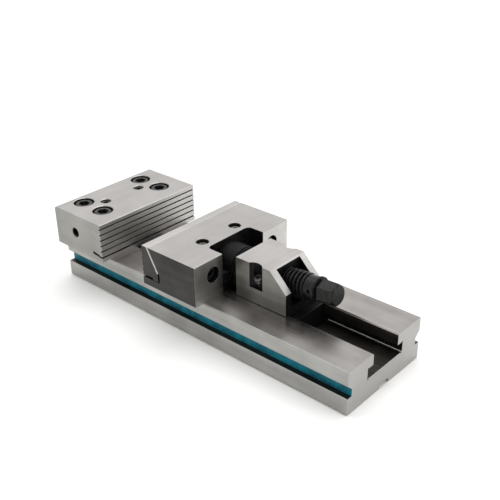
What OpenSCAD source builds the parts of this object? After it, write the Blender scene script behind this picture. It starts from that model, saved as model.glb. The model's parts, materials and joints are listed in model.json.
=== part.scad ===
// Modular machine vise: grooved base with a T-slot, a bolted fixed jaw, a movable jaw with an
// inclined front plate, and a screw carriage that is clamped anywhere along the slot.
// X runs along the base from the fixed jaw to the open end, Z is up, and the underside is Z = 0.
// The origin is the middle of the base's underside. Places along X are worked out from the
// base's fixed-jaw end, and from_end() moves them into the frame.

/* [Base] */
// Length of the base
base_l = 422; // [400:1:520]
// Width of the base
base_w = 126.5; // [116:0.5:134]
// Height of the base, underside to top of the lands
base_h = 50.5; // [46:0.5:60]
// Width of the slot's mouth
slot_w = 43; // [40:0.5:46]
// Width of the slot's undercut
tee_w = 61; // [56:0.5:64]
// Thickness of the lips over the undercut
lip_t = 13.5; // [11:0.5:16]
// Height of the undercut
tee_h = 12; // [10:0.5:14]
// Depth of the side clamping grooves
groove_d = 7; // [4:0.5:9]
// Height of the side grooves' lower lip above the underside
groove_z = 19.8; // [16:0.1:22]
// Height of the side grooves at their mouth
groove_mouth = 14.7; // [12:0.1:16]
// Height of the side grooves at their inner wall
groove_inner = 8.5; // [6:0.1:10]
// Width of the key slot in the underside
keyway_w = 16; // [12:1:18]
// Depth of the key slot
keyway_d = 4.8; // [3:0.1:6]
// Chamfer on the long edges of the base
base_chamfer = 0.9; // [0.5:0.1:1.5]
// Chamfer on the slot's mouth
slot_chamfer = 1.6; // [0.5:0.1:2]

/* [Jaws] */
// Width of both jaws
jaw_w = 150; // [140:1:180]
// Height of both jaws above the base
jaw_h = 47.5; // [46:0.5:56]
// Length of the fixed jaw along the base
fixed_l = 83; // [76:0.5:100]
// Opening between the jaws
opening = 70.5; // [66:0.5:75]
// Length of the movable jaw, with its front plate
moving_l = 81; // [80:0.5:86]
// Height of the lowest gripping groove above the base
grip_z = 13.9; // [12:0.1:15]
// Pitch of the gripping grooves
grip_pitch = 7; // [6:0.1:7.2]
// Number of gripping grooves
grip_n = 5; // [3:1:5]
// Height of one gripping groove
grip_t = 1.5; // [1:0.1:2]
// Depth of the gripping grooves
grip_d = 1.6; // [1:0.1:3]
// Height of the step-bar slot at the foot of each gripping face
bar_t = 2; // [1.4:0.1:2.4]
// Distance of the jaw screws from the fixed jaw's back face
bolt_x = 18; // [15:0.5:19]
// Spacing of the jaw screws along the base
bolt_dx = 35; // [30:0.5:36]
// Spacing of the jaw screws across the base
bolt_dy = 90; // [84:0.5:92]
// Spacing of the two lifting threads and their cover screws
lift_dy = 52; // [48:0.5:54]
// Thickness of the front plate at its top
plate_top = 10; // [8:0.5:12]
// Lean of the front plate's seat from upright
seat_angle = 29; // [25:1:31]
// Height of the front plate's foot above the base
plate_foot = 9; // [8:0.5:10]
// Height of the relief at the foot of the plate's seat
relief_h = 11.5; // [8:0.5:12]
// Width of the bay in the back of the movable jaw
bay_w = 66; // [64:0.5:70]
// Depth of that bay
bay_d = 22; // [21:0.5:24]
// Corner radius of that bay
bay_r = 6; // [4:0.5:8]
// Spacing of the plate screws
plate_dy = 95; // [92:0.5:105]
// Height of the plate screws above the base
plate_z = 28.5; // [26:0.5:32]
// Spacing of the saddle screws on top of the movable jaw
saddle_dy = 51.6; // [50:0.2:54]

/* [Carriage] */
// Gap between the movable jaw and the carriage
carriage_gap = 14.5; // [14:0.5:18]
// Length of the carriage housing
housing_l = 68.5; // [68:0.5:76]
// Width of the carriage housing
housing_w = 55.5; // [55:0.5:58]
// Height of the carriage housing
housing_h = 47; // [46.5:0.5:52]
// Length of the housing's 45 degree face along the base
slope_l = 21.5; // [18:0.5:22]
// Width of the spindle window in the housing
window_w = 38; // [35:0.5:40]
// Height of the spindle window's floor above the base
window_z = 8.5; // [5:0.5:9]
// Radius of the side notches
notch_r = 11; // [10:0.5:13]
// Depth of the side notches
notch_d = 4.6; // [4:0.1:5]
// Height of the side notches' floor above the base
notch_z = 18.3; // [17:0.1:20]
// Distance of the clamp screws from the housing's jaw face
clamp_x = 28; // [26:0.5:30]
// Lean of the clamp screws from upright
clamp_tilt = 18; // [16:0.5:20]
// Length of the slide nut that shows past the housing
nut_tail = 12; // [4:0.5:14]

/* [Spindle] */
// Outside diameter of the spindle's thread
thread_d = 30; // [26:0.5:30]
// Upward lean of the spindle towards its head
tilt = 6; // [5:0.5:6.5]
// Height of the spindle's axis above the base, at the housing's end face
axis_h = 26.4; // [26:0.1:28]
// Size of the hex head across its flats
hex_af = 22; // [19:1:24]
// Length of the hex head
hex_l = 20; // [16:1:30]
// Turn of the hex head's corners from level
hex_turn = 20; // [0:5:55]
// Length of thread that stands out of the housing, along the axis
thread_out = 10; // [9:0.5:16]
// Length of the stop collar
collar_l = 14; // [8:1:16]
// Diameter of the stop collar
collar_d = 27.2; // [26:0.2:28]
// Diameter of the nose flange that pulls the jaw back
flange_d = 26; // [24:0.5:27]
// Diameter of the neck behind the nose flange
neck_d = 18; // [14:0.5:20]
// Radius of the thrust block's round top
barrel_r = 24; // [22:0.5:25]
// Length of the thrust block that stands out behind the movable jaw
barrel_out = 9; // [4:0.5:9]

/* [Fits] */
// Gap between sliding faces
slide_gap = 0.1; // [0.05:0.05:0.3]
// Radial clearance of turning shafts and of screws in their threads
run_gap = 0.05; // [0.02:0.01:0.08]
// Radial clearance of screws through plain holes
pass_gap = 0.5; // [0.3:0.1:1]

/* [Hidden] */
$fn = 64;
eps = 0.5;

// Heights
floor_z = base_h - lip_t - tee_h;
jaw_top = base_h + jaw_h;
// Places along the base
front_x = fixed_l + opening;
back_x = front_x + moving_l;
bay_x = back_x - bay_d;
housing_x = back_x + carriage_gap;
housing_end = housing_x + housing_l;
row_x = bolt_x + bolt_dx / 2;
saddle_x = bay_x - 14.1;
// Screw sizes: shank radius, head radius, head height, socket across flats
m14 = [7, 10.5, 14, 12];
m10 = [5, 8, 10, 8];
m8 = [4, 6.5, 8, 6];
m6 = [3, 5, 6, 5];
jaw_bore_r = m14[1] + 1.5;
jaw_bore_d = m14[2] + 1.6;
// Spindle stations along its axis, from the housing's end face towards the head
collar_a = thread_out;
hex_a = collar_a + collar_l + 1.5;
thread_a = -72;
flange_a = -90;
flange_t = 5;
pad_t = 5;
pad_a = flange_a - flange_t - pad_t;
// Room for the nose to ride up in its slot over the whole stroke
nose_room = 1.3;
// Gap at each end of the nose, which the lean of the slot's walls takes up
nose_gap = 2 * slide_gap;
// Thrust block: height of its flange, and the height of its barrel's axis
flange_h = 22;
// Its screws and dowels: places to the sides and up, and how deep the screws' heads are sunk
block_screw_y = 24;
block_screw_z = 14;
block_dowel_y = 10;
block_head_sink = 9;
barrel_z = base_h + axis_h - (housing_end - back_x) * tan(tilt);
// Sliders in the T-slot
neck_half = slot_w / 2 - slide_gap;
tee_half = tee_w / 2 - 2 * slide_gap;
saddle_plate_t = 8;
saddle_sink = 12;
// Cross key behind the front jaw screws
key_x = bolt_x + bolt_dx + m14[0] + 3;
key_l = 10;
// Clamp screws: place of the top of the head, and how far the screw reaches down
clamp_y = housing_w / 2 - 4.15;
clamp_z = axis_h - (housing_l - clamp_x) * tan(tilt) + 9;
clamp_end = (clamp_z + lip_t + 5) / cos(clamp_tilt) - m6[2];
nut_key = 3;

steel = [0.70, 0.70, 0.69];
dark = [0.12, 0.12, 0.12];
zinc = [0.62, 0.62, 0.60];

// Half of the base's section, Y to the right: outline points from the key slot round to the slot
function half_section(w = base_w / 2, c = base_chamfer) = [
    [keyway_w / 2, keyway_d], [keyway_w / 2, 0], [w - c, 0], [w, c],
    [w, groove_z - c / 2], [w - c / 2, groove_z], [w - groove_d, groove_z],
    [w - groove_d, groove_z + groove_inner], [w, groove_z + groove_mouth],
    [w, base_h - c], [w - c, base_h], [slot_w / 2 + slot_chamfer, base_h],
    [slot_w / 2, base_h - slot_chamfer], [slot_w / 2, base_h - lip_t],
    [tee_w / 2 - 2, base_h - lip_t], [tee_w / 2 - 1, base_h - lip_t + 1],
    [tee_w / 2, base_h - lip_t], [tee_w / 2, floor_z - 1], [tee_w / 2 - 2.5, floor_z - 1],
    [tee_w / 2 - 2.5, floor_z]
];

// The same points on the other side, in turning-back order
function other_half(h) = [for (i = [len(h) - 1 : -1 : 0]) [-h[i][0], h[i][1]]];

// Moves a part drawn from the base's fixed-jaw end into the frame
module from_end() {
    translate([-base_l / 2, 0, 0]) children();
}

// Turns a Y-Z outline into a bar along X
module along_x(x0, x1) {
    translate([x0, 0, 0]) rotate([90, 0, 90]) linear_extrude(x1 - x0) children();
}

// Turns an X-Z outline into a bar across the vise, w wide
module across(w) {
    translate([0, w / 2, 0]) rotate([90, 0, 0]) linear_extrude(w) children();
}

// Frame of the spindle: X along its axis, with 0 at the housing's end face
module on_spindle() {
    translate([housing_end, 0, base_h + axis_h]) rotate([0, -tilt, 0]) children();
}

// Cylinder on the spindle's axis between two stations
module turned(a, b, r) {
    translate([a, 0, 0]) rotate([0, 90, 0]) cylinder(r = r, h = b - a);
}

// Frame of one clamp screw: Z along the screw, up, with 0 under its head
module on_clamp(side) {
    translate([housing_x + clamp_x, side * clamp_y, base_h + clamp_z])
        rotate([-side * clamp_tilt, 0, 0]) translate([0, 0, -m6[2]]) children();
}

// Socket cap screw, head up, seated on Z = 0
module cap_screw(s, len) {
    difference() {
        union() {
            translate([0, 0, -len]) cylinder(r = s[0], h = len);
            cylinder(r = s[1], h = s[2] - 0.8);
            translate([0, 0, s[2] - 0.8]) cylinder(r1 = s[1], r2 = s[1] - 0.8, h = 0.8);
        }
        translate([0, 0, s[2] * 0.45]) cylinder(d = s[3] / cos(30), h = s[2], $fn = 6);
    }
}

// Set screw with its top at Z = 0
module set_screw(r, len, af) {
    difference() {
        translate([0, 0, -len]) cylinder(r = r, h = len);
        translate([0, 0, -len * 0.4]) cylinder(d = af / cos(30), h = len, $fn = 6);
    }
}

module jaw_bolt_places() {
    for (x = [bolt_x, bolt_x + bolt_dx], y = [-bolt_dy / 2, bolt_dy / 2])
        translate([x, y, jaw_top - jaw_bore_d]) children();
}

module lift_places(z) {
    for (y = [-lift_dy / 2, lift_dy / 2]) translate([row_x, y, z]) children();
}

module dowel_places(z) {
    for (y = [-bolt_dy / 2, bolt_dy / 2]) translate([row_x, y, z]) children();
}

// Gripping grooves and the step-bar slot of a jaw face at X = 0, cut towards +X
module grip_cuts() {
    for (i = [0 : grip_n - 1])
        translate([-eps, -jaw_w / 2 - 1, base_h + grip_z + i * grip_pitch - grip_t / 2])
            cube([grip_d + eps, jaw_w + 2, grip_t]);
}

// Outline of the cross key that takes the clamping load under the fixed jaw
module key_outline() {
    translate([key_x, base_h - 4]) square([key_l, 8]);
}

module base() {
    color(steel) from_end() difference() {
        along_x(0, base_l) polygon(concat(half_section(), other_half(half_section())));
        jaw_bolt_places() translate([0, 0, jaw_bore_d - jaw_h - 25])
            cylinder(r = m14[0] + run_gap, h = 26);
        dowel_places(base_h - 12) cylinder(r = 5, h = 13);
        across(base_w - 10) key_outline();
    }
}

module fixed_jaw() {
    color(steel) from_end() difference() {
        across(jaw_w) polygon([
            [0, base_h], [fixed_l, base_h], [fixed_l, jaw_top - 0.6], [fixed_l - 0.6, jaw_top],
            [2.2, jaw_top], [0, jaw_top - 2.2]
        ]);
        jaw_bolt_places() {
            translate([0, 0, -jaw_h]) cylinder(r = m14[0] + pass_gap, h = jaw_h + eps);
            cylinder(r = jaw_bore_r, h = jaw_bore_d + eps);
        }
        jaw_bolt_places() translate([0, 0, jaw_bore_d - 0.8])
            cylinder(r1 = jaw_bore_r, r2 = jaw_bore_r + 1, h = 1);
        dowel_places(base_h - 1) cylinder(r = 5, h = 13);
        lift_places(jaw_top - 20) cylinder(r = 6 + run_gap, h = 21);
        lift_places(jaw_top - 1) cylinder(r1 = 6, r2 = 7.4, h = 1.4);
        for (s = [-1, 1]) translate([row_x, s * jaw_w / 2, base_h + jaw_h / 2]) rotate([s * 90, 0, 0]) {
            translate([0, 0, -1]) cylinder(r = 5.1, h = 26);
            translate([0, 0, -0.1]) cylinder(r1 = 6.8, r2 = 5.1, h = 1.6);
        }
        translate([fixed_l, 0, 0]) mirror([1, 0, 0]) grip_cuts();
        across(jaw_w + 2) bar_slot_fixed();
        across(base_w - 10) key_outline();
    }
}

// Step-bar slot of the fixed jaw: a neck at the face, then a wider, slightly rising pocket
module bar_slot_fixed() {
    z = base_h + 6;
    polygon([
        [fixed_l + eps, z - bar_t / 2], [fixed_l + eps, z + bar_t / 2], [fixed_l - 5, z + bar_t / 2],
        [fixed_l - 5, z + bar_t / 2 + 1], [fixed_l - 16.5, z + bar_t / 2 + 3],
        [fixed_l - 16.5, z + 1], [fixed_l - 5, z - 0.6], [fixed_l - 5, z - bar_t / 2]
    ]);
}

module fixed_jaw_screws() {
    color(dark) from_end() jaw_bolt_places() cap_screw(m14, jaw_h - jaw_bore_d + 22);
}

module fixed_jaw_cover_screws() {
    color(dark) from_end() lift_places(jaw_top - 1.8) set_screw(6, 11, 6);
}

module fixed_jaw_dowels() {
    color(zinc) from_end() dowel_places(base_h - 12) cylinder(r = 5, h = 24);
}

module fixed_jaw_cross_key() {
    color(zinc) from_end() across(base_w - 10) key_outline();
}

// Foot of the inclined seat, and the front plate's outline in X-Z; the plate can drop by foot_gap
foot_gap = 0.6;
seat_gap = 0.04;
seam_chamfer = 2.4;
seam_break = 0.7;
seat_x0 = front_x + plate_top;
seat_z1 = base_h + plate_foot + relief_h;
seat_x1 = seat_x0 + (jaw_top - seat_z1) * tan(seat_angle);
module plate_outline() {
    polygon([
        [front_x, base_h + plate_foot + foot_gap], [seat_x1 - 1, base_h + plate_foot + foot_gap],
        [seat_x1 - 1, seat_z1],
        [seat_x1 - seat_gap, seat_z1],
        [seat_x0 - seat_gap + seam_break * tan(seat_angle), jaw_top - seam_break],
        [seat_x0 - seat_gap - seam_break, jaw_top], [front_x + 0.6, jaw_top],
        [front_x, jaw_top - 0.6]
    ]);
}

// Pocket in the movable jaw that the plate drops into, with the relief behind its foot
module plate_pocket() {
    polygon([
        [front_x - eps, base_h + plate_foot], [seat_x1 + 1.4, base_h + plate_foot],
        [seat_x1 + 1.4, seat_z1 - 1], [seat_x1, seat_z1],
        [seat_x0, jaw_top], [seat_x0, jaw_top + eps], [front_x - eps, jaw_top + eps]
    ]);
}

// Plan of the bay in the back of the movable jaw, drawn in by g
module bay_plan(g) {
    x0 = bay_x;
    h = bay_w / 2 - g;
    r = bay_r;
    union() {
        translate([x0, -(h - r)]) square([bay_d, 2 * (h - r)]);
        translate([x0 + r, -h]) square([bay_d - r, 2 * h]);
        for (s = [-1, 1]) translate([x0 + r, s * (h - r)]) circle(r);
    }
}

module plate_screw_places(x) {
    for (y = [-plate_dy / 2, plate_dy / 2])
        translate([x, y, base_h + plate_z]) rotate([0, 90, 0]) children();
}

plate_seat_x = back_x - 15;
washer_t = 2;

module saddle_screw_places() {
    for (y = [-saddle_dy / 2, saddle_dy / 2]) translate([saddle_x, y, jaw_top - saddle_sink]) children();
}

module movable_jaw() {
    color(steel) from_end() difference() {
        across(jaw_w) polygon([
            [front_x, base_h + slide_gap], [back_x, base_h + slide_gap], [back_x, jaw_top - 0.6],
            [back_x - 0.6, jaw_top], [front_x, jaw_top]
        ]);
        across(jaw_w + 2) plate_pocket();
        translate([0, 0, base_h - 1]) linear_extrude(jaw_h + 2) bay_plan(0);
        translate([bay_x + bay_r, -bay_w / 2, base_h - 1]) cube([bay_d, bay_w, jaw_h + 2]);
        plate_screw_places(plate_seat_x - washer_t) {
            cylinder(r = m10[1] + 1, h = 40);
            translate([0, 0, -60]) cylinder(r = m10[0] + pass_gap, h = 61);
        }
        saddle_screw_places() {
            cylinder(r = m8[1] + 0.5, h = saddle_sink + eps);
            translate([0, 0, saddle_sink - 0.8]) cylinder(r1 = m8[1] + 0.5, r2 = m8[1] + 1.7, h = 1.2);
            translate([0, 0, -60]) cylinder(r = m8[0] + pass_gap, h = 61);
        }
        translate([bay_x - 26.5, -bay_w / 2, base_h - 1]) cube([27, bay_w, saddle_plate_t + 1.1]);
        block_screw_places() translate([0, 0, -10]) cylinder(r = m8[0] + run_gap, h = 11);
        block_dowel_places() translate([0, 0, -12]) cylinder(r = 3, h = 13);
    }
}

// Chamfers at both ends of the plate's sloping seat
module seam_cuts() {
    side = seam_chamfer * sqrt(2);
    seam_l = (jaw_top - seat_z1) / cos(seat_angle);
    for (s = [-1, 1]) translate([seat_x0, s * jaw_w / 2, jaw_top])
        rotate([0, -seat_angle, 0]) translate([0, 0, -seam_l]) rotate([0, 0, 45])
            translate([-side / 2, -side / 2, 0]) cube([side, side, seam_l + 8]);
}

module front_plate() {
    color(steel) from_end() difference() {
        across(jaw_w) plate_outline();
        translate([front_x, 0, 0]) grip_cuts();
        across(jaw_w + 2) polygon([
            [front_x - eps, base_h + plate_foot - 1], [front_x - eps, base_h + plate_foot + bar_t],
            [front_x + 5, base_h + plate_foot + bar_t], [front_x + 5, base_h + plate_foot + bar_t + 1],
            [front_x + 15.5, base_h + plate_foot + bar_t + 1], [front_x + 15.5, base_h + plate_foot - 1]
        ]);
        plate_screw_places(front_x + 6) cylinder(r = m10[0] + run_gap, h = 40);
        seam_cuts();
    }
}

module front_plate_screws() {
    color(dark) from_end() plate_screw_places(plate_seat_x) cap_screw(m10, plate_seat_x - front_x - 7);
}

module front_plate_washers() {
    color(zinc) from_end() plate_screw_places(plate_seat_x - washer_t) difference() {
        cylinder(r = m10[1] + 0.4, h = washer_t);
        translate([0, 0, -1]) cylinder(r = m10[0] + pass_gap, h = washer_t + 2);
    }
}

// T-shaped slider section, from the top of its neck down to the slot's floor
module slider_section(top) {
    translate([-neck_half, base_h - lip_t - eps]) square([2 * neck_half, top - base_h + lip_t + eps]);
    translate([-tee_half, floor_z + slide_gap])
        square([2 * tee_half, tee_h - 2 * slide_gap]);
}

module jaw_saddle() {
    color(dark) from_end() difference() {
        union() {
            along_x(bay_x - 26, back_x) slider_section(base_h + slide_gap);
            translate([bay_x - 26, -bay_w / 2 + 0.5, base_h + slide_gap])
                cube([26, bay_w - 1, saddle_plate_t - slide_gap]);
        }
        saddle_screw_places() translate([0, 0, -60]) cylinder(r = m8[0] + run_gap, h = 61);
    }
}

module saddle_screws() {
    color(zinc) from_end() saddle_screw_places() cap_screw(m8, jaw_h - saddle_sink - 0.6);
}

module block_screw_places() {
    for (s = [-1, 1]) translate([bay_x, s * block_screw_y, base_h + block_screw_z])
        rotate([0, 90, 0]) children();
}

module block_dowel_places() {
    for (s = [-1, 1]) translate([bay_x, s * block_dowel_y, barrel_z + 15.5])
        rotate([0, 90, 0]) children();
}

// Slot that drops over the spindle's nose: round at the top, open at the bottom
module nose_slot(a, b, r) {
    translate([0, 0, nose_room]) turned(a, b, r);
    translate([a, -r, -60]) cube([b - a, 2 * r, 60 + nose_room]);
}

// Section of the thrust block's barrel: a round top over the spindle, cut off level above the slot
module barrel_section(r) {
    intersection() {
        translate([0, barrel_z]) circle(r);
        translate([-r, base_h + slide_gap]) square([2 * r, 100]);
    }
}

module thrust_block() {
    z0 = base_h + slide_gap;
    head_x = bay_d - block_head_sink;
    color(dark) from_end() difference() {
        union() {
            translate([0, 0, z0]) linear_extrude(flange_h) bay_plan(0.3);
            along_x(bay_x, back_x + 1.5) barrel_section(barrel_r);
            along_x(bay_x, back_x + barrel_out) barrel_section(barrel_r - 1.6);
            along_x(back_x + 3.1, back_x + 5) barrel_section(barrel_r);
            along_x(back_x + 6.6, back_x + barrel_out) barrel_section(barrel_r);
        }
        on_spindle() {
            nose_slot(pad_a - nose_gap, flange_a + nose_gap, flange_d / 2 + 0.4);
            nose_slot(flange_a, flange_a + 30, neck_d / 2 + 0.4);
        }
        block_screw_places() {
            translate([0, 0, -eps]) cylinder(r = m8[0] + pass_gap, h = bay_d + 1);
            translate([0, 0, head_x]) cylinder(r = m8[1] + 0.5, h = bay_d);
        }
        block_dowel_places() translate([0, 0, -eps]) cylinder(r = 3, h = 12 + eps);
    }
}

module thrust_block_screws() {
    color(zinc) from_end() block_screw_places() translate([0, 0, bay_d - block_head_sink])
        cap_screw(m8, bay_d - 1);
}

module thrust_block_dowels() {
    color(zinc) from_end() block_dowel_places() translate([0, 0, -12]) cylinder(r = 3, h = 24);
}

// Outline of the housing in X-Z, with its 45 degree face
module housing_outline() {
    z0 = base_h + slide_gap;
    z1 = base_h + housing_h;
    polygon([
        [housing_x, z0], [housing_end, z0], [housing_end, z1 - slope_l],
        [housing_end - slope_l, z1], [housing_x + 0.5, z1], [housing_x, z1 - 0.5]
    ]);
}

module carriage_housing() {
    window_x = housing_end - slope_l + 1.5;
    color(steel) from_end() difference() {
        across(housing_w) housing_outline();
        on_spindle() turned(-100, 60, thread_d / 2 + run_gap);
        translate([window_x, -window_w / 2, base_h + window_z]) cube([60, window_w, 60]);
        translate([housing_x - 1, -neck_half, base_h - 1]) cube([housing_l + 2, 2 * neck_half, nut_key + 1]);
        for (s = [-1, 1]) {
            translate([housing_x + clamp_x, s * (housing_w / 2 + notch_r - notch_d), base_h + notch_z])
                cylinder(r = notch_r, h = housing_h);
            on_clamp(s) cylinder(r = m6[1] + 0.4, h = 40);
            on_clamp(s) translate([0, 0, -40]) cylinder(r = m6[0] + pass_gap, h = 41);
        }
    }
}

module slide_nut() {
    color(dark) from_end() difference() {
        union() {
            along_x(housing_x + 0.5, housing_end + nut_tail) slider_section(base_h - 0.4);
            along_x(housing_x + 0.5, housing_end - 0.5) slider_section(base_h + nut_key);
        }
        for (s = [-1, 1]) on_clamp(s) translate([0, 0, -clamp_end - 2])
            cylinder(r = m6[0] + run_gap, h = clamp_end + 20);
    }
}

module thrust_pad() {
    color(zinc) from_end() on_spindle() turned(pad_a, flange_a - flange_t, flange_d / 2 - 1);
}

module spindle() {
    hex_r = hex_af / 2 / cos(30);
    color(dark) from_end() on_spindle() difference() {
        union() {
            turned(flange_a - flange_t + 0.02, flange_a, flange_d / 2);
            turned(flange_a - eps, thread_a, neck_d / 2);
            turned(thread_a, collar_a, thread_d / 2);
            turned(collar_a - eps, hex_a, 10);
            intersection() {
                translate([hex_a, 0, 0]) rotate([90, 0, 90]) rotate([0, 0, hex_turn])
                    cylinder(r = hex_r, h = hex_l, $fn = 6);
                translate([hex_a, 0, 0]) rotate([0, 90, 0])
                    cylinder(r1 = hex_r + hex_l - 2.6, r2 = hex_r - 2.6, h = hex_l);
            }
        }
        on_collar_pin() cylinder(r = 2, h = 60, center = true);
    }
}

module on_collar_pin() {
    translate([collar_a + collar_l / 2, 0, 0]) rotate([90 - 12, 0, 0]) children();
}

module stop_collar() {
    color(dark) from_end() on_spindle() difference() {
        union() {
            turned(collar_a, collar_a + collar_l, collar_d / 2);
            turned(collar_a + collar_l - 3.4, collar_a + collar_l - 1, collar_d / 2 + 0.8);
        }
        turned(collar_a - 1, collar_a + collar_l + 1, 10);
        on_collar_pin() cylinder(r = 2, h = 60, center = true);
    }
}

module collar_pin() {
    color(zinc) from_end() on_spindle() on_collar_pin() cylinder(r = 2, h = collar_d - 5, center = true);
}

module clamp_screw(side) {
    color(dark) from_end() on_clamp(side) cap_screw(m6, clamp_end);
}

module clamp_screw_left() { clamp_screw(-1); }
module clamp_screw_right() { clamp_screw(1); }

base();
fixed_jaw();
fixed_jaw_screws();
fixed_jaw_cover_screws();
fixed_jaw_dowels();
fixed_jaw_cross_key();
movable_jaw();
front_plate();
front_plate_screws();
front_plate_washers();
jaw_saddle();
saddle_screws();
thrust_block();
thrust_block_screws();
thrust_block_dowels();
carriage_housing();
slide_nut();
thrust_pad();
spindle();
stop_collar();
collar_pin();
clamp_screw_left();
clamp_screw_right();
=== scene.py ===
import json
from math import cos, pi, radians, sin, tan

import bmesh
import bpy
from mathutils import Matrix, Vector


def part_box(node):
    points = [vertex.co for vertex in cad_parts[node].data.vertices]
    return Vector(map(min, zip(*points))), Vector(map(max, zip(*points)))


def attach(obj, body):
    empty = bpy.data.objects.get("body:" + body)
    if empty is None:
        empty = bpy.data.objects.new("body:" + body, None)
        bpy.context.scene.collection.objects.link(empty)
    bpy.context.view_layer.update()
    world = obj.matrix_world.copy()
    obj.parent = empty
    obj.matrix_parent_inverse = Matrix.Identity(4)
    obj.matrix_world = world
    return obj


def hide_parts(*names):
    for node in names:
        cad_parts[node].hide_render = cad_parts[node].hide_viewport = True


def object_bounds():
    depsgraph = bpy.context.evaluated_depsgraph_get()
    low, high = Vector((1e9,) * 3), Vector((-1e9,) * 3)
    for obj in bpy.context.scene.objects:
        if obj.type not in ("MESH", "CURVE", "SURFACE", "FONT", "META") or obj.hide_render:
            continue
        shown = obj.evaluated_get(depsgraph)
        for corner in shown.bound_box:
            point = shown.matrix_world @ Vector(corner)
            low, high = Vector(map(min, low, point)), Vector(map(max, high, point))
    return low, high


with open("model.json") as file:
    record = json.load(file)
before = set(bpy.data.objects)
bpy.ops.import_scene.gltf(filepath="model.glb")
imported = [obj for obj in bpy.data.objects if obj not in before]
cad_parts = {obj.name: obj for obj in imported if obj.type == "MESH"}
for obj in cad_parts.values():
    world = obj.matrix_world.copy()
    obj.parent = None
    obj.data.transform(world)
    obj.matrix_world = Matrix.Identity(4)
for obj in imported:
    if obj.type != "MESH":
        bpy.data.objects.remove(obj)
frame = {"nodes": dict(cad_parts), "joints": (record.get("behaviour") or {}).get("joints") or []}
cad_low, cad_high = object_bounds()


# ---------------------------------------------------------------- base
# A long block of hardened tool steel, surface ground on its lands, sides and ends. The clamping
# groove along each side is painted, and the T-slot is left with the dark skin of hardening. The
# groove's upper and lower walls take the same dark steel as painted shade, and a bright strip
# along the foot of the slot walls is a painted highlight.

MM = 0.001
BASE_HALF_WIDTH = 63.25
GROOVE_FLOOR = 56.25
SLOT_HALF_WIDTH = 21.5
LAND = 50.5
TEE_REACH = 32.5
SLOT_BOTTOM = 22
GROOVE_LOW = 15
GROOVE_HIGH = 38
STRIP = 1.3
UP, SIDE, END, PAINT, SLOT_AND_GROOVE_SHADE, HIGHLIGHT_WALL = range(6)
LAND_GREY = "#A39F9C"
SIDE_GREY = "#ABAAA7"
END_GREY = "#AFADAB"
GROOVE_TEAL = "#0C7282"
SLOT_AND_GROOVE_SHADE_DARK = "#514E4B"


def linear(hex_colour):
    """An sRGB hex colour as a linear RGBA."""
    parts = [int(hex_colour[i:i + 2], 16) / 255 for i in (1, 3, 5)]
    return (*[c / 12.92 if c <= 0.04045 else ((c + 0.055) / 1.055) ** 2.4 for c in parts], 1)


def add(tree, kind, values=None, links=None, **settings):
    """Adds a node, with its settings, its input values and its incoming links."""
    node = tree.nodes.new(kind)
    for key, value in settings.items():
        setattr(node, key, value)
    for key, value in (values or {}).items():
        node.inputs[key].default_value = value
    for key, source in (links or {}).items():
        tree.links.new(source, node.inputs[key])
    return node


def new_material(name):
    """An empty material: its node tree and its output's surface socket."""
    material = bpy.data.materials.new(name)
    material.use_nodes = True
    tree = material.node_tree
    tree.nodes.clear()
    output = add(tree, "ShaderNodeOutputMaterial")
    return material, tree, output.inputs["Surface"]


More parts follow.
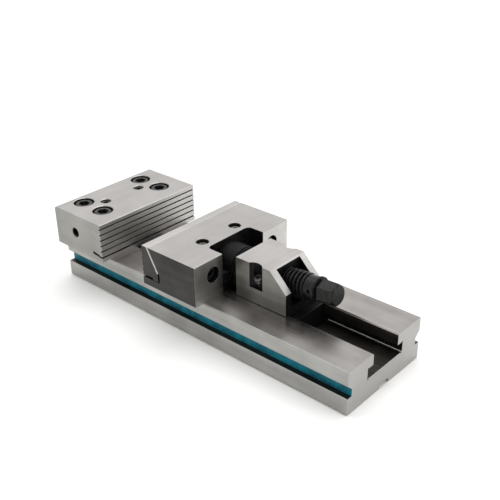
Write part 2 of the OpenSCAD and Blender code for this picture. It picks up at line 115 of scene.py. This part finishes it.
def ground_steel(name, light, dark, rough, along="X", lines=0.35, metallic=1.0):
    """Surface-ground tool steel: fine parallel grinding lines give long, soft reflections, and
    faint clouds of oil and wear change the gloss from place to place."""
    material, tree, surface = new_material(name)
    place = add(tree, "ShaderNodeTexCoord").outputs["Object"]
    # Grinding lines are about 0.1 mm apart and up to 40 mm long; drawn 0.5 mm apart so they show
    across = 1 / (0.5 * MM)
    stretch = [across, across, across]
    stretch["XYZ".index(along)] = 1 / (40 * MM)
    lined = add(tree, "ShaderNodeMapping", {"Scale": stretch}, {"Vector": place})
    grain = add(tree, "ShaderNodeTexNoise", {"Scale": 1.0, "Detail": 3.0, "Roughness": 0.65},
                {"Vector": lined.outputs["Vector"]})
    # Wheel passes 6 mm apart leave broad bands that are hardly lighter or darker
    pass_scale = [1 / (6 * MM)] * 3
    pass_scale["XYZ".index(along)] = 1 / (200 * MM)
    passes = add(tree, "ShaderNodeMapping", {"Scale": pass_scale}, {"Vector": place})
    bands = add(tree, "ShaderNodeTexNoise", {"Scale": 1.0, "Detail": 2.0},
                {"Vector": passes.outputs["Vector"]})
    # Oil film and handling marks, 20 to 60 mm across
    clouds = add(tree, "ShaderNodeTexNoise", {"Scale": 1 / (38 * MM), "Detail": 4.0, "Roughness": 0.55},
                 {"Vector": place})
    # A few stray scratches, 12 mm long
    stray = add(tree, "ShaderNodeMapping", {"Scale": (1 / (12 * MM), 1 / (0.6 * MM), 1 / (0.6 * MM)),
                                            "Rotation": (0.5, 0.7, 0.4)}, {"Vector": place})
    nicks = add(tree, "ShaderNodeTexNoise", {"Scale": 1.0, "Detail": 1.0},
                {"Vector": stray.outputs["Vector"]})
    scratch = add(tree, "ShaderNodeMapRange", {"From Min": 0.70, "From Max": 0.78, "To Min": 0.0,
                                               "To Max": 1.0}, {"Value": nicks.outputs["Fac"]})
    cloudy = add(tree, "ShaderNodeMath", {1: 0.55}, {0: clouds.outputs["Fac"]}, operation="MULTIPLY")
    banded = add(tree, "ShaderNodeMath", {1: 0.3}, {0: bands.outputs["Fac"], 2: cloudy.outputs[0]},
                 operation="MULTIPLY_ADD")
    tone = add(tree, "ShaderNodeMath", {1: 0.15}, {0: grain.outputs["Fac"], 2: banded.outputs[0]},
               operation="MULTIPLY_ADD")
    spread = add(tree, "ShaderNodeMapRange", {"From Min": 0.36, "From Max": 0.64},
                 {"Value": tone.outputs[0]})
    colour = add(tree, "ShaderNodeMix", {6: linear(dark), 7: linear(light)},
                 {0: spread.outputs["Result"]}, data_type="RGBA")
    gloss = add(tree, "ShaderNodeMapRange", {"From Min": 0.3, "From Max": 0.7, "To Min": rough - 0.06,
                                             "To Max": rough + 0.08}, {"Value": tone.outputs[0]})
    height = add(tree, "ShaderNodeMath", {1: -0.8}, {0: scratch.outputs["Result"],
                                                     2: grain.outputs["Fac"]}, operation="MULTIPLY_ADD")
    bump = add(tree, "ShaderNodeBump", {"Strength": lines, "Distance": 0.02 * MM},
               {"Height": height.outputs[0]})
    shader = add(tree, "ShaderNodeBsdfPrincipled", {"Metallic": metallic},
                 {"Base Color": colour.outputs[2], "Roughness": gloss.outputs["Result"],
                  "Normal": bump.outputs["Normal"]})
    tree.links.new(shader.outputs["BSDF"], surface)
    return material


def enamel(name, colour, deep):
    """Sprayed machine enamel on rough-milled steel: a soft gloss over fine orange peel, lighter and
    darker in patches."""
    material, tree, surface = new_material(name)
    place = add(tree, "ShaderNodeTexCoord").outputs["Object"]
    # Orange peel about 1.2 mm across
    peel = add(tree, "ShaderNodeTexNoise", {"Scale": 1 / (1.2 * MM), "Detail": 2.0}, {"Vector": place})
    # Cover changes over about 14 mm
    cover = add(tree, "ShaderNodeTexNoise", {"Scale": 1 / (14 * MM), "Detail": 5.0, "Roughness": 0.65},
                {"Vector": place})
    spread = add(tree, "ShaderNodeMapRange", {"From Min": 0.35, "From Max": 0.65},
                 {"Value": cover.outputs["Fac"]})
    shade = add(tree, "ShaderNodeMix", {6: linear(deep), 7: linear(colour)},
                {0: spread.outputs["Result"]}, data_type="RGBA")
    bump = add(tree, "ShaderNodeBump", {"Strength": 0.3, "Distance": 0.05 * MM},
               {"Height": peel.outputs["Fac"]})
    shader = add(tree, "ShaderNodeBsdfPrincipled", {"Roughness": 0.4, "IOR": 1.3},
                 {"Base Color": shade.outputs[2], "Normal": bump.outputs["Normal"]})
    tree.links.new(shader.outputs["BSDF"], surface)
    return material


def pick_face(centre, normal):
    """The skin for the way a face looks: up or down, to the sides, or to the ends."""
    if abs(normal.z) > 0.75:
        return UP
    return SIDE if abs(normal.y) > abs(normal.x) else END


def finished_copy(name, node, body, skins, pick, edge, cut=None):
    """A welded copy of a CAD node with its sharp edges broken by edge millimetres. pick(centre in
    millimetres, normal) says which of the skins a face wears, and cut(bm) finishes some edges."""
    bm = bmesh.new()
    bm.from_mesh(frame["nodes"][node].data)
    bmesh.ops.remove_doubles(bm, verts=bm.verts, dist=0.002 * MM)
    bmesh.ops.dissolve_limit(bm, angle_limit=radians(0.3), verts=bm.verts, edges=bm.edges)
    for face in bm.faces:
        face.smooth = True
        face.material_index = pick(face.calc_center_median() / MM, face.normal)
    if cut:
        cut(bm)
    return finish_piece(bm, name, node, body, skins, edge)


def finish_piece(bm, name, node, body, skins, edge):
    """Makes bm a piece that stands for a CAD node, wears the given skins and rides on its body."""
    mesh = bpy.data.meshes.new(name)
    bm.to_mesh(mesh)
    bm.free()
    for skin in skins:
        mesh.materials.append(skin)
    piece = bpy.data.objects.new(name, mesh)
    bpy.context.scene.collection.objects.link(piece)
    if edge:
        broken = piece.modifiers.new("broken_edges", "BEVEL")
        broken.width = edge * MM
        broken.segments = 2
        broken.limit_method = "ANGLE"
        broken.angle_limit = radians(32)
        broken.harden_normals = True
        level = piece.modifiers.new("flat_faces", "WEIGHTED_NORMAL")
        level.weight = 100
        level.keep_sharp = True
    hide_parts(node)
    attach(piece, body)
    return piece


def base_skin(centre, normal):
    """Land, side, end, painted groove wall, or slot; the groove's lips wear the slot's dark steel as
    painted shade.
    """
    out = abs(centre.y)
    if abs(normal.x) > 0.9:
        return END
    if out < TEE_REACH and SLOT_BOTTOM < centre.z < LAND - 0.6:
        return UP if 0.5 < normal.z < 0.95 else SLOT_AND_GROOVE_SHADE
    if abs(out - GROOVE_FLOOR) < 0.3 and abs(normal.y) > 0.9:
        return PAINT
    # Painted shade: the groove's upper and lower walls take the slot's dark steel
    if GROOVE_FLOOR < out < BASE_HALF_WIDTH - 0.5 and GROOVE_LOW < centre.z < GROOVE_HIGH:
        return SLOT_AND_GROOVE_SHADE
    return SIDE if abs(normal.y) > 0.5 else UP


def slot_highlight_strips(bm):
    """A painted highlight: a bright strip along the foot of the slot's deep side walls."""
    deep = [face for face in bm.faces if abs(face.normal.y) > 0.9 and face.material_index == SLOT_AND_GROOVE_SHADE
            and SLOT_HALF_WIDTH + 3 < abs(face.calc_center_median().y) / MM < TEE_REACH]
    foot = min(vert.co.z for face in deep for vert in face.verts)
    edges = {edge for face in deep for edge in face.edges}
    bmesh.ops.bisect_plane(bm, geom=deep + list(edges), plane_co=(0, 0, foot + STRIP * MM),
                           plane_no=(0, 0, 1))
    for face in bm.faces:
        if face.material_index == SLOT_AND_GROOVE_SHADE and abs(face.normal.y) > 0.9:
            if max(vert.co.z for vert in face.verts) < foot + (STRIP + 0.1) * MM:
                face.material_index = HIGHLIGHT_WALL


land_steel = ground_steel("ground_land_steel", LAND_GREY, "#918D8A", 0.3, lines=0.03)
side_steel = ground_steel("ground_side_steel", SIDE_GREY, "#91908D", 0.33, lines=0.2)
end_steel = ground_steel("ground_end_steel", END_GREY, "#A09E9C", 0.36, along="Y")
# Painted highlight: a light, dull strip that stands for light caught at the foot of the slot walls
highlight_strip_steel = ground_steel("painted_highlight_strip_steel", "#F2F0ED", "#E2E0DC", 0.5, metallic=0.25)
groove_paint = enamel("teal_machine_enamel", GROOVE_TEAL, "#064754")
slot_steel_and_groove_shade = ground_steel("hardened_slot_steel_and_groove_shade", SLOT_AND_GROOVE_SHADE_DARK, "#2C2A28", 0.45)
finished_copy("base_block", "base", "base",
              [land_steel, side_steel, end_steel, groove_paint, slot_steel_and_groove_shade, highlight_strip_steel],
              base_skin, 0.3, slot_highlight_strips)


# ---------------------------------------------------------------- fixed jaw
# A block of case-hardened steel ground all over, bolted across one end of the base. The gripping
# grooves and the step-bar slot are cut with a thin wheel; they and the deeper hollows are darkened
# as painted shade.

JAW_HALF_WIDTH = 75
STEP_DEPTH = 17
SHADED_GROOVE = 3
FIXED_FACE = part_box("fixed_jaw")[1].x / MM
FIXED_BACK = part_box("fixed_jaw")[0].x / MM
JAW_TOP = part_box("fixed_jaw")[1].z / MM


def jaw_skin(face_x, towards):
    """Top, sides, ends and the grooves of a jaw whose gripping face is at face_x; the grooves and
    hollows are darkened as painted shade.
    """
    def pick(centre, normal):
        behind = (face_x - centre.x) * towards
        inside = abs(centre.y) < JAW_HALF_WIDTH - 0.5
        if inside and 0.2 < behind < STEP_DEPTH and centre.z < JAW_TOP - 1:
            if abs(normal.x) > 0.9 or abs(normal.z) > 0.8:
                return SHADED_GROOVE
        if inside and centre.z < JAW_TOP - 1.5 and abs(normal.z) < 0.9:
            if abs(behind) > STEP_DEPTH and centre.x > FIXED_BACK + 4:
                return SHADED_GROOVE
        return pick_face(centre, normal)
    return pick


jaw_top_steel = ground_steel("ground_jaw_top_steel", "#B0ADAA", "#A3A09D", 0.35, along="Y", lines=0.2)
jaw_side_steel = ground_steel("ground_jaw_side_steel", "#979692", "#82817D", 0.30)
# Painted light: the gripping faces are made lighter to make up for the dark reflection they pick up
jaw_face_lit_steel = ground_steel("ground_gripping_steel_painted_light", "#C4C2BF", "#B0AEAB", 0.45, along="Y")
# Painted shade: near-black steel for grooves and recesses
groove_shade_dark = ground_steel("painted_shade_groove_steel", "#2B2B2A", "#1B1B1B", 0.45, along="Y")
finished_copy("fixed_jaw_block", "fixed_jaw", "base",
              [jaw_top_steel, jaw_side_steel, jaw_face_lit_steel, groove_shade_dark],
              jaw_skin(FIXED_FACE, 1), 0.3)


# ---------------------------------------------------------------- fixed jaw screws
# Four big socket cap screws in counterbores, and two shorter socket plugs that close the lifting
# threads between them. Blackened steel, slightly oily, with worn rims.

def black_oxide(name, light="#2C2C2B", dark="#171717", rough=0.36):
    """Blackened steel: a thin, dark, oily skin with a soft shine, rubbed lighter in small spots."""
    material, tree, surface = new_material(name)
    place = add(tree, "ShaderNodeTexCoord").outputs["Object"]
    # Rubbed spots about 3 mm across, and a fine tooth of 0.4 mm left by turning
    rubs = add(tree, "ShaderNodeTexNoise", {"Scale": 1 / (3 * MM), "Detail": 5.0, "Roughness": 0.6},
               {"Vector": place})
    tooth = add(tree, "ShaderNodeTexNoise", {"Scale": 1 / (0.4 * MM), "Detail": 2.0}, {"Vector": place})
    spread = add(tree, "ShaderNodeMapRange", {"From Min": 0.42, "From Max": 0.68},
                 {"Value": rubs.outputs["Fac"]})
    shade = add(tree, "ShaderNodeMix", {6: linear(dark), 7: linear(light)},
                {0: spread.outputs["Result"]}, data_type="RGBA")
    gloss = add(tree, "ShaderNodeMapRange", {"From Min": 0.3, "From Max": 0.7, "To Min": rough - 0.1,
                                             "To Max": rough + 0.08}, {"Value": rubs.outputs["Fac"]})
    bump = add(tree, "ShaderNodeBump", {"Strength": 0.25, "Distance": 0.02 * MM},
               {"Height": tooth.outputs["Fac"]})
    shader = add(tree, "ShaderNodeBsdfPrincipled", {"Metallic": 0.75},
                 {"Base Color": shade.outputs[2], "Roughness": gloss.outputs["Result"],
                  "Normal": bump.outputs["Normal"]})
    tree.links.new(shader.outputs["BSDF"], surface)
    return material


def one_skin(centre, normal):
    """For pieces that wear one finish all over."""
    return 0


screw_black = black_oxide("blackened_screw_steel", "#4A4A48", "#242424", 0.33)
plug_black = black_oxide("rubbed_plug_steel", "#5E5C59", "#373634", 0.36)
finished_copy("jaw_screws", "fixed_jaw_screws", "base", [screw_black],
              one_skin, 0.25)
finished_copy("lifting_plugs", "fixed_jaw_cover_screws", "base", [plug_black],
              one_skin, 0.2)


# ---------------------------------------------------------------- dowels and cross key
# Two hardened dowels locate the fixed jaw, and a ground key across the base takes the clamping
# load. All are pressed or fitted in and hidden once the jaw is down.

key_steel = ground_steel("ground_key_steel", "#BDBBB8", "#A5A3A0", 0.3, along="Y")
finished_copy("jaw_dowels", "fixed_jaw_dowels", "base", [key_steel], one_skin, 0.3)
finished_copy("jaw_cross_key", "fixed_jaw_cross_key", "base", [key_steel], one_skin, 0.3)


# ---------------------------------------------------------------- movable jaw
# The same ground steel as the fixed jaw, with a deep bay in its back; its sides are darkened as
# painted shade and its back lightened as painted light. The front plate hangs on an inclined seat,
# so that clamping pulls it down.

MOVABLE_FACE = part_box("front_plate")[0].x / MM
JAW_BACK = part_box("movable_jaw")[1].x / MM
SEAM_WIDTH = 2.5
BAY_SHADE = 3
SEAM = 4


def on_jaw_side(centre):
    """Whether a face lies in the ground side of a jaw."""
    return abs(centre.y) > JAW_HALF_WIDTH - 0.2


def on_seam(centre, normal):
    """Whether a face belongs to the chamfer where the plate meets the jaw."""
    return abs(centre.y) > JAW_HALF_WIDTH - SEAM_WIDTH and 0.4 < abs(normal.y) < 0.95


def movable_skin(centre, normal):
    """Ground outside; the bay, the screw holes and the seat are blackened as painted shade."""
    if on_jaw_side(centre):
        return SIDE
    if centre.z > JAW_TOP - 1.6 and normal.z > 0.5:
        return UP
    if on_seam(centre, normal):
        return SEAM
    if centre.x > JAW_BACK - 0.8 and normal.x > 0.9:
        return END
    return UP if normal.z < -0.9 else BAY_SHADE


def plate_skin(centre, normal):
    """Ground on its top, ends and lands; the gripping grooves, seat and holes are darkened as painted
    shade.
    """
    if on_jaw_side(centre):
        return SIDE
    if on_seam(centre, normal):
        return SEAM
    if centre.z > JAW_TOP - 1.5:
        return UP
    return END if centre.x < MOVABLE_FACE + 0.2 else SHADED_GROOVE


# Painted shade: the sides of the jaw and plate are darkened to look as they do in shade
movable_side_shade_steel = ground_steel("ground_movable_side_painted_shade", "#444341", "#333231", 0.34, lines=0.2)
# Painted light: the back is lightened to make up for the housing's shade on it
movable_back_lit_steel = ground_steel("ground_movable_back_painted_light", "#C6C5C2", "#AEADAA", 0.32, along="Y",
                                  lines=0.2)
plate_top_steel = ground_steel("ground_plate_top_steel", "#BAB7B4", "#ABA8A5", 0.34, along="Y",
                               lines=0.2)
seam_steel = ground_steel("ground_seam_steel", "#C6C4C1", "#ADABA8", 0.34)
# Painted shade: near-black for the bay, holes and seat, and for the housing's window and notches
bay_shade_black = black_oxide("painted_shade_black_steel", "#1E1E1E", "#101010", 0.5)
finished_copy("movable_jaw_block", "movable_jaw", "jaw",
              [jaw_top_steel, movable_side_shade_steel, movable_back_lit_steel, bay_shade_black, seam_steel],
              movable_skin, 0.3)
finished_copy("gripping_plate", "front_plate", "plate",
              [plate_top_steel, movable_side_shade_steel, jaw_face_lit_steel, groove_shade_dark, seam_steel],
              plate_skin, 0.3)
finished_copy("plate_screws", "front_plate_screws", "plate", [screw_black],
              one_skin, 0.2)
bright_turned = ground_steel("turned_bright_steel", "#C9C8C5", "#B1B0AC", 0.28, along="Z")
finished_copy("plate_washers", "front_plate_washers", "jaw", [bright_turned],
              one_skin, 0.1)
finished_copy("top_screws", "saddle_screws", "jaw", [bright_turned],
              one_skin, 0.2)


# ---------------------------------------------------------------- saddle and thrust block
# The T-shaped slider under the movable jaw and the block that holds the spindle's nose, both
# milled from steel and blackened; the block is made darker still as painted shade of the bay.

part_black = black_oxide("blackened_milled_steel", "#181817", "#0D0D0D", 0.5)
finished_copy("jaw_slider", "jaw_saddle", "jaw", [part_black], one_skin, 0.25)
# Blackened steel, darkened further as painted shade where the block sits deep in the bay
dull_black_and_bay_shade = black_oxide("dull_block_steel_and_bay_shade", "#121211", "#080808", 0.58)
finished_copy("nose_block", "thrust_block", "jaw", [dull_black_and_bay_shade], one_skin, 0.4)
finished_copy("nose_block_screws", "thrust_block_screws", "jaw", [screw_black],
              one_skin, 0.2)
finished_copy("nose_block_dowels", "thrust_block_dowels", "jaw", [bright_turned],
              one_skin, 0.2)
finished_copy("nose_pad", "thrust_pad", "nose", [bright_turned], one_skin, 0.3)


# ---------------------------------------------------------------- carriage
# The housing of the spindle: ground steel outside, with its window and side notches blackened as
# painted shade. It stands on a blackened T-nut that slides along the base.

HOUSING_LOW, HOUSING_HIGH = [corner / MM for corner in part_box("carriage_housing")]
SLOPE_LENGTH = 22
FOOT_LINE = 0.7
SLOPE, WINDOW_SHADE, SHADED_END = 2, 3, 4


def painted_foot_shadow(bm):
    """A painted contact shadow: a narrow dark line along the housing's foot."""
    foot = HOUSING_LOW.z * MM
    bmesh.ops.bisect_plane(bm, geom=bm.verts[:] + bm.edges[:] + bm.faces[:],
                           plane_co=(0, 0, foot + FOOT_LINE * MM), plane_no=(0, 0, 1))
    for face in bm.faces:
        if max(vert.co.z for vert in face.verts) < foot + (FOOT_LINE + 0.05) * MM:
            face.material_index = WINDOW_SHADE


def housing_skin(centre, normal):
    """Ground top, sides, back and slope; the low front end is darkened and the window blackened, both
    as painted shade.
    """
    if abs(centre.y) > HOUSING_HIGH.y - 0.15:
        return SIDE
    if normal.x > 0.6 and normal.z > 0.6 and centre.x > HOUSING_HIGH.x - SLOPE_LENGTH:
        return SLOPE
    if centre.z > HOUSING_HIGH.z - 0.6 and normal.z > 0.6:
        return UP
    if centre.x > HOUSING_HIGH.x - 0.2 and normal.x > 0.9:
        return SHADED_END
    return SIDE if centre.x < HOUSING_LOW.x + 0.6 and normal.x < -0.6 else WINDOW_SHADE


housing_top = ground_steel("ground_housing_top_steel", "#B5B1AF", "#A5A19F", 0.36, along="Y", lines=0.2)
housing_side = ground_steel("ground_housing_side_steel", "#8F8E8A", "#777672", 0.32)
housing_slope = ground_steel("ground_housing_slope_steel", "#CFCDCB", "#BDBBB8", 0.36)
# Painted shade: the low front end is darkened as it falls in shadow
housing_end_shade = ground_steel("ground_housing_end_painted_shade", "#3E3D3B", "#2B2B2A", 0.38, along="Y")
finished_copy("housing", "carriage_housing", "carriage",
              [housing_top, housing_side, housing_slope, bay_shade_black, housing_end_shade],
              housing_skin, 0.3, painted_foot_shadow)
finished_copy("t_nut", "slide_nut", "carriage", [part_black], one_skin, 0.3)
# Painted highlight: lighter than the other blackened screws, standing for the glint on their heads
clamp_highlight_grey = black_oxide("clamp_screw_painted_highlight", "#8A8784", "#4A4947", 0.32)
finished_copy("clamp_screw_a", "clamp_screw_left", "clamp_left", [clamp_highlight_grey],
              one_skin, 0.15)
finished_copy("clamp_screw_b", "clamp_screw_right", "clamp_right",
              [clamp_highlight_grey], one_skin, 0.15)


# ---------------------------------------------------------------- spindle
# A blackened steel spindle with a single-start trapezoidal thread, a pinned stop collar and a
# chamfered hex head. It leans up towards its head.

LEAD = 5
THREAD_R = 15
ROOT_R = 12.2
TURN_STEPS = 60
TILT = radians(6)
THREAD_FROM = -72
THREAD_TO = 10
LAP = 1
BAR_LAP = 1.5

spindle_joint = next(j for j in frame["joints"] if j["name"] == "spindle_turn")
spindle_place = Matrix.Translation(spindle_joint["pos_m"]) @ Matrix.Rotation(-TILT, 4, "Y")


def threaded_bar(start, end):
    """A bar with a helical trapezoidal thread, along X, in metres: one tooth's outline is swept
    round the axis, trimmed square at both ends and closed."""
    bm = bmesh.new()
    outline = [(0, ROOT_R), (0.42, ROOT_R), (0.54, THREAD_R - 0.25), (0.58, THREAD_R),
               (0.78, THREAD_R), (0.82, THREAD_R - 0.25), (0.94, ROOT_R), (1, ROOT_R)]
    first = start - 1.5 * LEAD
    verts = [bm.verts.new((first + LEAD * t, 0, r)) for t, r in outline]
    edges = [bm.edges.new(pair) for pair in zip(verts, verts[1:])]
    turns = int((end - start) / LEAD) + 3
    bmesh.ops.spin(bm, geom=verts + edges, cent=(0, 0, 0), axis=(1, 0, 0),
                   dvec=(LEAD / TURN_STEPS, 0, 0), angle=2 * pi * turns, steps=TURN_STEPS * turns,
                   use_merge=False)
    bmesh.ops.remove_doubles(bm, verts=bm.verts, dist=0.01)
    for at, side in ((start, -1), (end, 1)):
        cut = bmesh.ops.bisect_plane(bm, geom=bm.verts[:] + bm.edges[:] + bm.faces[:],
                                     plane_co=(at, 0, 0), plane_no=(side, 0, 0), clear_outer=True)
        rim = [g for g in cut["geom_cut"] if isinstance(g, bmesh.types.BMEdge)]
        bmesh.ops.contextual_create(bm, geom=rim)
    bmesh.ops.recalc_face_normals(bm, faces=bm.faces)
    bmesh.ops.scale(bm, vec=(MM, MM, MM), verts=bm.verts)
    return bm


def spindle_ends():
    """The CAD spindle without its plain threaded part, which threaded_bar() stands for."""
    bm = bmesh.new()
    bm.from_mesh(frame["nodes"]["spindle"].data)
    bmesh.ops.remove_doubles(bm, verts=bm.verts, dist=0.002 * MM)
    bmesh.ops.transform(bm, matrix=spindle_place.inverted(), verts=bm.verts)
    pieces = []
    for at, side in ((THREAD_TO + LAP, -1), (THREAD_FROM - LAP, 1)):
        part = bm.copy()
        cut = bmesh.ops.bisect_plane(part, geom=part.verts[:] + part.edges[:] + part.faces[:],
                                     plane_co=(at * MM, 0, 0), plane_no=(side, 0, 0), clear_outer=True)
        rim = [g for g in cut["geom_cut"] if isinstance(g, bmesh.types.BMEdge)]
        bmesh.ops.holes_fill(part, edges=rim)
        bmesh.ops.dissolve_limit(part, angle_limit=radians(0.3), verts=part.verts, edges=part.edges)
        pieces.append(part)
    bm.free()
    return pieces


spindle_bm = threaded_bar(THREAD_FROM - BAR_LAP, THREAD_TO)
for end_bm in spindle_ends():
    spare = bpy.data.meshes.new("spare")
    end_bm.to_mesh(spare)
    end_bm.free()
    spindle_bm.from_mesh(spare)
    bpy.data.meshes.remove(spare)
bmesh.ops.transform(spindle_bm, matrix=spindle_place, verts=spindle_bm.verts)
for face in spindle_bm.faces:
    face.smooth = True
spindle_black = black_oxide("blackened_spindle_steel", "#2E2E2D", "#1B1B1B", 0.36)
finish_piece(spindle_bm, "spindle_bar", "spindle", "spindle", [spindle_black], 0.25)
finished_copy("stop_ring", "stop_collar", "spindle", [spindle_black], one_skin, 0.3)
finished_copy("ring_pin", "collar_pin", "spindle", [spindle_black], one_skin, 0.2)


# ---------------------------------------------------------------- studio
# A pale floor that runs to a white surround, one wide overhead light and two side lights.

FLOOR_GAP = 0.0004


def stage_floor():
    """A matt white sheet just under the vise's foot."""
    material, tree, surface = new_material("matt_white_floor")
    shader = add(tree, "ShaderNodeBsdfPrincipled", {"Base Color": linear("#F4F4F2"), "Roughness": 0.9})
    tree.links.new(shader.outputs["BSDF"], surface)
    bm = bmesh.new()
    bmesh.ops.create_grid(bm, x_segments=1, y_segments=1, size=6)
    mesh = bpy.data.meshes.new("floor")
    bm.to_mesh(mesh)
    bm.free()
    mesh.materials.append(material)
    floor = bpy.data.objects.new("floor", mesh)
    floor.location.z = cad_low.z - FLOOR_GAP
    bpy.context.scene.collection.objects.link(floor)


def soft_light(name, place, size, power):
    """A wide soft box that looks at the middle of the vise."""
    lamp = bpy.data.lights.new(name, "AREA")
    lamp.shape = "RECTANGLE"
    lamp.size, lamp.size_y = size
    lamp.energy = power
    light = bpy.data.objects.new(name, lamp)
    light.location = place
    aim = Vector((0, 0, 0.05)) - Vector(place)
    light.rotation_euler = aim.to_track_quat("-Z", "Y").to_euler()
    bpy.context.scene.collection.objects.link(light)


stage_floor()
soft_light("overhead", (-0.2, 0.3, 1.6), (2.2, 1.6), 15)
soft_light("behind", (-1.6, 1.7, 1.3), (2.4, 1.4), 2)
soft_light("right", (1.5, 0.4, 0.7), (0.9, 1.2), 4)
world = bpy.data.worlds.new("studio")
world.use_nodes = True
world.node_tree.nodes["Background"].inputs["Color"].default_value = (1, 1, 1, 1)
world.node_tree.nodes["Background"].inputs["Strength"].default_value = 1.0
bpy.context.scene.world = world
bpy.context.scene.view_settings.view_transform = "Standard"

camera = bpy.data.cameras.new("camera")
camera.lens = 59.53
camera.sensor_width = 36
camera_object = bpy.data.objects.new("camera", camera)
right = Vector((0.74742864, 0.66420909, -0.01329333))
up = Vector((-0.3051089, 0.36097356, 0.88125289))
back = Vector((0.59013472, -0.65461774, 0.47245808))
camera_object.matrix_world = Matrix.Translation((0.55905, -0.58302, 0.51338)) @ Matrix(
    (right, up, back)).transposed().to_4x4()
bpy.context.scene.collection.objects.link(camera_object)
bpy.context.scene.camera = camera_object
